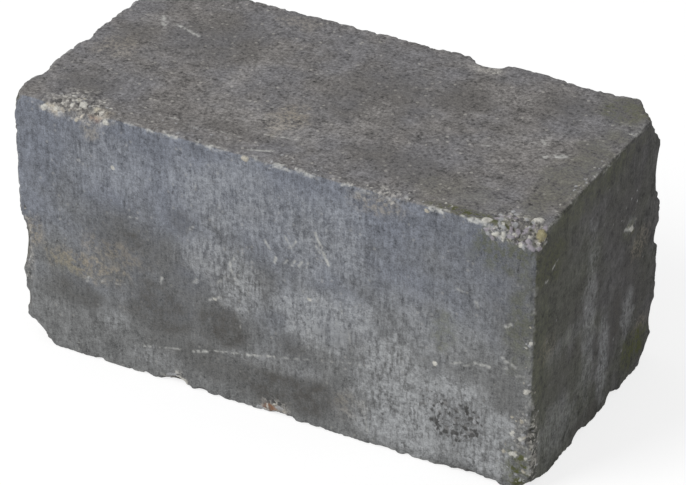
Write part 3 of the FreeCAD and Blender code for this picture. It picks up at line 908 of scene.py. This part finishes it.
    def plainness(self, points: np.ndarray) -> np.ndarray:
        """Which points lie on the plain parts of the faces, away from every arris and break."""
        return self.prism.insets(points)[:, 1] > self.kept_width

    def place_stones(self, points: np.ndarray) -> None:
        """Finds where on the surface every stone sits, the listed ones and the scattered ones.

        Args:
            points: The surface's points in millimetres, one row each.
        """
        random = np.random.default_rng(self.seed)
        scattered = [stone for scatter in SCATTERS for stone in scatter.stones(random)]
        stones = scattered + list(STONES)
        self.stones = [(stone, self.prism.spot(points, stone.face, stone.place)) for stone in stones]

    def stones_on(self, points: np.ndarray) -> list[tuple[Stone, np.ndarray, np.ndarray]]:
        """Finds which points are near each stone, and how far from it they are.

        Args:
            points: The surface's points in millimetres, one row each.

        Returns:
            Each stone with the numbers of the points near it and their distances, where 1 is its rim.
        """
        order = np.argsort(points[:, 0])
        along = points[order, 0]
        found = []
        for stone, centre in self.stones:
            far = 2.2 * max(stone.size)
            first, last = np.searchsorted(along, (centre[0] - far, centre[0] + far))
            span = order[first:last]
            near = span[np.abs(points[span] - centre).max(axis=1) < far]
            found.append((stone, near, stone.distance(points[near], centre, self.noise)))
        return found

    def refine(self, mesh: bpy.types.Mesh) -> None:
        """Halves the long edges near stones, scratches, pits and breaks until they are fine enough."""
        for _ in range(self.halvings):
            points = places(mesh)
            ends = np.empty(len(mesh.edges) * 2, np.int32)
            mesh.edges.foreach_get("vertices", ends)
            starts, stops = points[ends[::2]], points[ends[1::2]]
            half = np.linalg.norm(stops - starts, axis=1) / 2
            coarse = np.flatnonzero(half > self.fine_edge)
            chosen = coarse[self.detailed(((starts + stops) / 2)[coarse], half[coarse])]
            work = bmesh.new()
            work.from_mesh(mesh)
            work.edges.ensure_lookup_table()
            edges = [work.edges[number] for number in chosen]
            bmesh.ops.subdivide_edges(work, edges=edges, cuts=1, use_single_edge=True)
            bmesh.ops.triangulate(work, faces=[face for face in work.faces if len(face.verts) > 3])
            work.to_mesh(mesh)
            work.free()

    def detailed(self, points: np.ndarray, half: np.ndarray) -> np.ndarray:
        """Tells which edges need halving.

        Args:
            points: The middles of the edges in millimetres, one row each.
            half: Half the edges' lengths.

        Returns:
            True for each edge that reaches a stone, a scratch, a pit or a break.
        """
        wanted = self.prism.insets(points)[:, 0] > self.refined_inset
        wanted |= self.patched(points, Mask.PITS) > 0.1
        for stroke in STROKES:
            wanted |= stroke.distance(points, self.prism) < stroke.width + half
        order = np.argsort(points[:, 0])
        along = points[order, 0]
        for stone, centre in self.stones:
            far = 1.4 * max(stone.size)
            reach = far + half.max()
            first, last = np.searchsorted(along, (centre[0] - reach, centre[0] + reach))
            span = order[first:last]
            off = np.linalg.norm(points[span] - centre, axis=1) - half[span]
            wanted[span[off < far]] = True
        return wanted

    def paint(self, mesh: bpy.types.Mesh) -> None:
        """Writes every mask and the stones' colours as attributes of the mesh's points.

        Args:
            mesh: The finished mesh.
        """
        points = places(mesh)
        masks = {m: self.patched(points, m) for m in {patch.mask for patch in PATCHES}}
        strokes = [stroke.paint(points, self.prism, self.noise) for stroke in STROKES]
        masks[Mask.SCRATCH] = np.max(strokes, axis=0)
        lines = [line.paint(points, self.prism, self.noise) for line in WORN_LINES]
        masks[Mask.WORN] = np.max(lines, axis=0)
        masks[Mask.BREAK] = self.brokenness(points)
        colours = np.tile(np.array(MID_GREY), (len(points), 1))
        masks[Mask.STONE] = np.zeros(len(points))
        for stone, near, off in self.stones_on(points):
            inside = smooth(off, 1.15, 0.85)
            colours[near[inside > 0]] = stone.colour
            masks[Mask.STONE][near] = np.maximum(masks[Mask.STONE][near], inside)
        for mask, values in sorted(masks.items(), key=lambda item: item[0].value):
            layer = mesh.attributes.new(mask.value, "FLOAT", "POINT")
            layer.data.foreach_set("value", values.astype(np.float32))
        layer = mesh.attributes.new("stone_colour", "FLOAT_COLOR", "POINT")
        layer.data.foreach_set("color", colours.astype(np.float32).ravel())


def places(mesh: bpy.types.Mesh) -> np.ndarray:
    """Reads a mesh's points.

    Args:
        mesh: The mesh.

    Returns:
        The points in millimetres, one row each.
    """
    found = np.empty(len(mesh.vertices) * 3, np.float32)
    mesh.vertices.foreach_get("co", found)
    return found.reshape(-1, 3).astype(float) / MM


class Value:
    """A socket in an expression. An operator on values adds the Math node that works it out."""

    def __init__(self, shader: "Shader", socket: bpy.types.NodeSocket) -> None:
        """Keeps the socket.

        Args:
            shader: The material that the socket belongs to.
            socket: An output socket.
        """
        self.shader = shader
        self.socket = socket

    def __add__(self, other: "Value | float") -> "Value":
        """The sum."""
        return self.shader.maths("ADD", self, other)

    def __sub__(self, other: "Value | float") -> "Value":
        """The difference."""
        return self.shader.maths("SUBTRACT", self, other)

    def __rsub__(self, other: float) -> "Value":
        """The difference, from a number."""
        return self.shader.maths("SUBTRACT", other, self)

    def __mul__(self, other: "Value | float") -> "Value":
        """The product."""
        return self.shader.maths("MULTIPLY", self, other)

    __radd__ = __add__
    __rmul__ = __mul__

    def least(self, other: "Value | float") -> "Value":
        """The smaller of two values."""
        return self.shader.maths("MINIMUM", self, other)

    def most(self, other: "Value | float") -> "Value":
        """The larger of two values."""
        return self.shader.maths("MAXIMUM", self, other)

    def eased(self, low: float, high: float, bottom: float = 0.0, top: float = 1.0) -> "Value":
        """Eases the value between two levels.

        Args:
            low: Where the result is bottom.
            high: Where the result is top.
            bottom: The result at and below low.
            top: The result at and above high.

        Returns:
            The eased value.
        """
        levels = {1: low, 2: high, 3: bottom, 4: top}
        settings = {"interpolation_type": "SMOOTHSTEP"}
        return self.shader.value("ShaderNodeMapRange", settings, {0: self, **levels})


class Shader:
    """The nodes of a material or of the world."""

    def __init__(self, owner: bpy.types.Material | bpy.types.World) -> None:
        """Starts with no nodes.

        Args:
            owner: The material or the world.
        """
        owner.use_nodes = True
        self.tree = owner.node_tree
        self.tree.nodes.clear()

    def node(
        self,
        kind: str,
        settings: dict[str, object] | None = None,
        sockets: dict[str | int, object] | None = None,
    ) -> bpy.types.Node:
        """Adds a node.

        Args:
            kind: The node's type.
            settings: Its settings, which are made first.
            sockets: Its inputs by name or number: a Value to link, or a plain value.

        Returns:
            The node.
        """
        made = self.tree.nodes.new(kind)
        for name, value in (settings or {}).items():
            setattr(made, name, value)
        for name, value in (sockets or {}).items():
            if isinstance(value, Value):
                self.tree.links.new(value.socket, made.inputs[name])
            else:
                made.inputs[name].default_value = value
        return made

    def value(
        self,
        kind: str,
        settings: dict[str, object] | None = None,
        sockets: dict[str | int, object] | None = None,
        output: str | int = 0,
    ) -> Value:
        """Adds a node and takes one of its outputs.

        Args:
            kind: The node's type.
            settings: Its settings.
            sockets: Its inputs by name or number.
            output: The name or number of the output.

        Returns:
            The output as a value.
        """
        return Value(self, self.node(kind, settings, sockets).outputs[output])

    def maths(self, operation: str, first: Value | float, second: Value | float) -> Value:
        """Adds a Math node on two values."""
        return self.value("ShaderNodeMath", {"operation": operation}, {0: first, 1: second})

    def vector(self, operation: str, first: Value, second: tuple[float, float, float]) -> Value:
        """Adds a Vector Math node on a vector and three numbers."""
        return self.value("ShaderNodeVectorMath", {"operation": operation}, {0: first, 1: second})

    def brightened(self, colour: object, factor: Value | float) -> Value:
        """A colour made lighter or darker by a factor."""
        colour = colour if isinstance(colour, Value) else colour[:3]
        return self.value("ShaderNodeVectorMath", {"operation": "SCALE"}, {0: colour, "Scale": factor})

    def mixed(self, share: Value | float, first: object, second: object) -> Value:
        """Blends two colours.

        Args:
            share: How much of the second colour there is, from 0 to 1.
            first: The first colour, a Value or a plain colour.
            second: The second colour.

        Returns:
            The blended colour.
        """
        settings = {"data_type": "RGBA", "clamp_factor": True}
        sockets = {0: share, MIX_FIRST: first, MIX_SECOND: second}
        return self.value("ShaderNodeMix", settings, sockets, MIX_RESULT)

    def noise(self, place: Value, size: float, detail: float = 2, roughness: float = 0.5) -> Value:
        """Adds noise around zero.

        Args:
            place: Where the noise is read.
            size: The size of its lumps, in the unit of the place.
            detail: How many finer layers it has.
            roughness: How strong the finer layers are.

        Returns:
            The noise, from about -0.5 to 0.5.
        """
        sockets = {"Vector": place, "Scale": 1 / size, "Detail": detail, "Roughness": roughness}
        return self.value("ShaderNodeTexNoise", {"noise_dimensions": "3D"}, sockets) - 0.5

    def cells(self, place: Value, size: float, output: str = "Distance") -> Value:
        """Adds a cell pattern.

        Args:
            place: Where the pattern is read.
            size: The size of a cell, in the unit of the place.
            output: Distance for the distance from a cell's middle, or Color for a random colour.

        Returns:
            The chosen output.
        """
        sockets = {"Vector": place, "Scale": 1 / size}
        return self.value("ShaderNodeTexVoronoi", {"feature": "F1"}, sockets, output)

    def painted(self, mask: Mask) -> Value:
        """One of the masks that are painted on the block's points."""
        return self.value("ShaderNodeAttribute", {"attribute_name": mask.value}, {}, "Fac")


@dataclass(frozen=True)
class Concrete:
    """Weathered dark concrete: a drag-marked front, a sandy top, dull ends, pale arrises and breaks."""

    name: str = "weathered_concrete"
    blue_grey: tuple = tone(118, 122, 131)
    neutral_grey: tuple = tone(119, 120, 120)
    top_grey: tuple = tone(123, 120, 118)
    top_dull: tuple = tone(116, 115, 117)
    end_olive: tuple = tone(93, 94, 87)
    end_violet: tuple = tone(87, 86, 86)
    # Dirt, which on the right end also paints the shade of its hollows.
    dirt: tuple = tone(76, 74, 71)
    bloom: tuple = tone(168, 170, 172)
    bloom_warm: tuple = tone(166, 163, 161)
    ochre: tuple = tone(146, 137, 121)
    moss: tuple = tone(76, 79, 46)
    rust: tuple = tone(140, 104, 80)
    dust: tuple = tone(194, 194, 190)
    mortar: tuple = tone(126, 123, 120)
    sand: tuple = tone(192, 189, 182)
    lime: tuple = tone(190, 183, 171)
    # Painted shade for pores, pits and the gaps between grit grains.
    shade_in_gaps: tuple = tone(66, 65, 64)

    def build(self, prism: Prism) -> bpy.types.Material:
        """Makes the material.

        Args:
            prism: The block's plain box, in millimetres.

        Returns:
            The material.
        """
        material = bpy.data.materials.new(self.name)
        s = Shader(material)
        local = s.value("ShaderNodeTexCoord", output="Object")
        place = s.vector("MULTIPLY", local, (1 / MM,) * 3)
        split = s.node("ShaderNodeSeparateXYZ", {}, {0: place})
        x, y, z = (Value(s, output) for output in split.outputs)
        ends = (x - float(prism.low[0])).least(float(prism.high[0]) - x)
        sides = (y - float(prism.low[1])).least(float(prism.high[1]) - y)
        beds = z.least(float(prism.high[2]) - z)

        dust = s.noise(place, 0.8, 1, 0.5)
        grain = s.noise(place, 2.0, 2, 0.6)
        lumps = s.noise(place, 7.5, 3, 0.6)
        clouds = s.noise(place, 34, 3, 0.55)
        streaks = s.noise(s.vector("MULTIPLY", place, (1, 1, 0.2)), 1.4, 2)
        drags = s.noise(s.vector("MULTIPLY", place, (1, 1, 0.12)), 5, 2)
        speck = s.value("ShaderNodeSeparateColor", {}, {0: s.cells(place, 2.7, "Color")})
        speck_near = s.cells(place, 2.7).eased(0.42, 0.2)
        pale_specks = speck.eased(0.9, 0.93) * speck_near
        # Painted shade in small pores, which the bump also sinks.
        shaded_pores = speck.eased(0.1, 0.07) * speck_near

        end_share = (sides - ends + grain * 2).eased(-0.7, 0.7)
        flat_share = (ends.least(sides) - beds + grain * 2).eased(-0.7, 0.7)

        side = self.side_colour(s, x, z, clouds)
        side = s.brightened(
            side, 1 + dust * 1.05 + grain * 1.1 + streaks * 0.85 + drags * 0.4 + lumps * 0.9 + clouds * 0.35
        )
        end = s.mixed((clouds * 2.5 + 0.5 + y * 0.006).eased(0.1, 0.9), self.end_olive, self.end_violet)
        end = s.brightened(
            end, 0.98 + dust * 0.7 + grain * 1.4 + streaks * 0.3 + drags * 0.5 + lumps * 2.0 + clouds * 0.8
        )
        flat = s.mixed((clouds * 2.5 + 0.5).eased(0.1, 0.9), self.top_grey, self.top_dull)
        flat = s.brightened(flat, 1.02 + dust * 1.0 + grain * 2.1 + lumps * 1.6 + clouds * 0.5)
        colour = s.mixed(end_share, side, end)
        colour = s.mixed(flat_share, colour, flat)
        # Painted shade in the small pores, stronger on the top and bed.
        colour = s.mixed(shaded_pores * (0.3 + 0.35 * flat_share), colour, self.shade_in_gaps)
        colour = s.mixed(pale_specks * (0.22 + 0.3 * flat_share - 0.1 * end_share), colour, self.sand)

        texture = 1 + dust * 1.0 + grain * 1.2 + lumps * 0.5
        # Dark dirt, and painted shade in the right end's hollows.
        dirt = s.brightened(self.dirt, texture)
        colour = self.stained_or_shaded(s, colour, Mask.DIRT, dirt, 0.82, 0.45 + lumps * 1.5 + grain * 0.8)
        ochre = s.brightened(self.ochre, texture)
        colour = self.stained_or_shaded(s, colour, Mask.OCHRE, ochre, 0.6, 0.4 + lumps * 2.5 + grain * 3)
        bloom = s.brightened(s.mixed(flat_share, self.bloom, self.bloom_warm), texture)
        breakup = 0.5 + streaks * 1.6 + grain + lumps * 0.7 + clouds
        colour = self.stained_or_shaded(s, colour, Mask.BLOOM, bloom, 0.75, breakup)
        # Painted shade in the open pits.
        pit_shade = s.painted(Mask.PITS) * (grain * 5 + dust * 3).eased(0.0, 0.5) * 0.7
        colour = s.mixed(pit_shade, colour, self.shade_in_gaps)

        broken = s.painted(Mask.BREAK)
        rough = s.brightened(self.mortar, 0.95 + grain * 1.8 + lumps * 1.4 + dust * 0.8)
        colour = s.mixed(broken * 0.4, colour, rough)
        crumb = s.value("ShaderNodeSeparateColor", {}, {0: s.cells(place, 1.7, "Color")})
        crumbs = s.mixed(crumb.eased(0.25, 0.95), self.mortar, self.sand)
        # The darkest grit cells get painted shade, as gaps between the grains.
        crumbs = s.mixed(crumb.eased(0.22, 0.12), crumbs, self.shade_in_gaps)
        crumbs = s.brightened(crumbs, 1 + grain * 1.8 + dust)
        pale = s.painted(Mask.GRIT)
        colour = s.mixed(pale * (0.45 + lumps * 3 + grain * 1.5).eased(0.0, 0.7), colour, crumbs)
        lime = s.brightened(self.lime, 1 + lumps * 0.8 + grain * 1.0 + dust * 1.2)
        colour = self.stained_or_shaded(s, colour, Mask.LIME, lime, 0.95, 0.5 + lumps * 3 + grain * 1.5)
        moss = s.brightened(self.moss, texture)
        colour = self.stained_or_shaded(s, colour, Mask.MOSS, moss, 0.85, 0.45 + lumps * 3 + grain * 3)
        colour = self.stained_or_shaded(s, colour, Mask.RUST, self.rust, 0.9, 0.6 + grain * 2)

        colour = s.mixed(s.painted(Mask.WORN) * (0.8 + grain * 3), colour, self.dust)
        colour = s.mixed(s.painted(Mask.SCRATCH) * (0.95 + grain * 2), colour, self.dust)
        stone_colour = s.value("ShaderNodeAttribute", {"attribute_name": "stone_colour"}, {}, "Color")
        stone = s.brightened(stone_colour, 1 + grain * 0.9 + dust * 0.6)
        colour = s.mixed(s.painted(Mask.STONE) * 0.85, colour, stone)

        relief = dust * 0.25 + grain * 0.4 + streaks * 0.15 * (1 - flat_share) - shaded_pores * 0.25
        relief = relief + pale * crumb * 0.35
        bump = s.value(
            "ShaderNodeBump", {}, {"Strength": 1.0, "Distance": 1 * MM, "Height": relief}, "Normal"
        )
        roughness = 0.88 + grain * 0.2 - s.painted(Mask.STONE) * 0.2
        surface = s.value(
            "ShaderNodeBsdfPrincipled",
            {},
            {
                "Base Color": colour,
                "Roughness": roughness,
                "Specular IOR Level": 0.35,
                "Normal": bump,
            },
        )
        s.node("ShaderNodeOutputMaterial", {}, {"Surface": surface})
        return material

    def side_colour(self, s: Shader, x: Value, z: Value, clouds: Value) -> Value:
        """The long faces' grey, bluest above and to the left.

        Args:
            s: The material.
            x: The place along the block.
            z: The place up the block.
            clouds: Slow variation.

        Returns:
            The colour.
        """
        right = (x - 40).most(0)
        blue_share = clouds * 1.1 + 0.45 + (z - 75) * 0.008 - right * 0.003
        return s.mixed(blue_share.eased(0.05, 0.95), self.neutral_grey, self.blue_grey)

    @staticmethod
    def stained_or_shaded(
        shader: Shader, colour: Value, mask: Mask, stain: object, strength: float, breakup: Value
    ) -> Value:
        """Lays one kind of stain, or painted shade, over a colour.

        Args:
            shader: The material.
            colour: The colour under the stain.
            mask: The painted mask of the stain or of the painted shade.
            stain: The colour of the stain or of the painted shade.
            strength: How far the stain covers where its mask is full.
            breakup: Fine variation around a half, which breaks the stain up.

        Returns:
            The stained colour.
        """
        share = shader.painted(mask) * strength * breakup.eased(0, 0.8, 0.15, 1.15)
        return shader.mixed(share, colour, stain)


@dataclass(frozen=True)
class Studio:
    """A plain pale floor, soft light from the front left, and the camera.

    Its lengths are in metres, apart from the lens, which is in millimetres.
    """

    azimuth: float = math.radians(29.0)
    elevation: float = math.radians(30.7)
    distance: float = 1.661
    lens: float = 166.4
    shift: tuple[float, float] = (0.0071, -0.0267)
    floor_size: float = 16.0
    floor_grey: int = 232
    floor_glow: float = 1.27
    glow_share: float = 0.6
    sky_strength: float = 0.5
    key_place: tuple[float, float, float] = (-1.1, -1.7, 2.1)
    key_size: float = 1.2
    key_power: float = 42.0

    def build(self) -> None:
        """Makes the floor, the world, the lamp and the camera."""
        self.floor()
        self.world()
        self.lamp("key_light", Vector(self.key_place), self.key_size, self.key_power)
        self.camera()

    def floor(self) -> None:
        """Makes the pale floor, which the camera sees nearly white, with the block's shadow on it."""
        half = self.floor_size / 2
        mesh = bpy.data.meshes.new("floor")
        corners = [(-half, -half, 0), (half, -half, 0), (half, half, 0), (-half, half, 0)]
        mesh.from_pydata(corners, [], [(0, 1, 2, 3)])
        material = bpy.data.materials.new("pale_floor")
        s = Shader(material)
        grey = tone(self.floor_grey, self.floor_grey, self.floor_grey)
        matt = s.value("ShaderNodeBsdfDiffuse", {}, {"Color": grey})
        white = s.value("ShaderNodeEmission", {}, {"Color": (1, 1, 1, 1), "Strength": self.floor_glow})
        path = s.node("ShaderNodeLightPath")
        seen = Value(s, path.outputs["Is Camera Ray"]) + Value(s, path.outputs["Is Glossy Ray"])
        share = seen.least(1) * self.glow_share
        surface = s.value("ShaderNodeMixShader", {}, {0: share, 1: matt, 2: white})
        s.node("ShaderNodeOutputMaterial", {}, {"Surface": surface})
        mesh.materials.append(material)
        floor = bpy.data.objects.new("floor", mesh)
        bpy.context.scene.collection.objects.link(floor)
        floor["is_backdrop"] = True
        logger.info("floor: %.0f m square", self.floor_size)

    def world(self) -> None:
        """Makes the even light from all round, which the camera sees as white."""
        world = bpy.data.worlds.new("studio")
        s = Shader(world)
        path = s.value("ShaderNodeLightPath", output="Is Camera Ray")
        strength = path * (1 - self.sky_strength) + self.sky_strength
        sky = s.value("ShaderNodeBackground", {}, {"Color": (1, 1, 1, 1), "Strength": strength})
        s.node("ShaderNodeOutputWorld", {}, {"Surface": sky})
        bpy.context.scene.world = world

    @staticmethod
    def lamp(name: str, place: Vector, size: float, power: float) -> None:
        """Adds a square lamp that faces the block.

        Args:
            name: The lamp's name.
            place: Where it hangs.
            size: Its side.
            power: Its power in watts.
        """
        light = bpy.data.lights.new(name, "AREA")
        light.size = size
        light.energy = power
        lamp = bpy.data.objects.new(name, light)
        lamp.location = place
        lamp.rotation_euler = (-place).to_track_quat("-Z", "Y").to_euler()
        bpy.context.scene.collection.objects.link(lamp)

    def camera(self) -> None:
        """Makes the camera, aimed at the middle of the block from the front right and above."""
        low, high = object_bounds()
        middle = (Vector(low) + Vector(high)) / 2
        away = Vector(
            (
                math.sin(self.azimuth) * math.cos(self.elevation),
                -math.cos(self.azimuth) * math.cos(self.elevation),
                math.sin(self.elevation),
            )
        )
        lens = bpy.data.cameras.new("camera")
        lens.lens = self.lens
        lens.shift_x, lens.shift_y = self.shift
        camera = bpy.data.objects.new("camera", lens)
        camera.location = middle + away * self.distance
        camera.rotation_euler = away.to_track_quat("Z", "Y").to_euler()
        bpy.context.scene.collection.objects.link(camera)
        bpy.context.scene.camera = camera


def main() -> None:
    """Builds the block and its studio."""
    logging.basicConfig(level=logging.INFO, format="%(name)s: %(message)s")
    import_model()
    bpy.context.scene.view_settings.view_transform = "Standard"
    Studio().build()
    block = WallBlock()
    block.build(Concrete().build(block.prism))


if __name__ == "__main__":
    main()
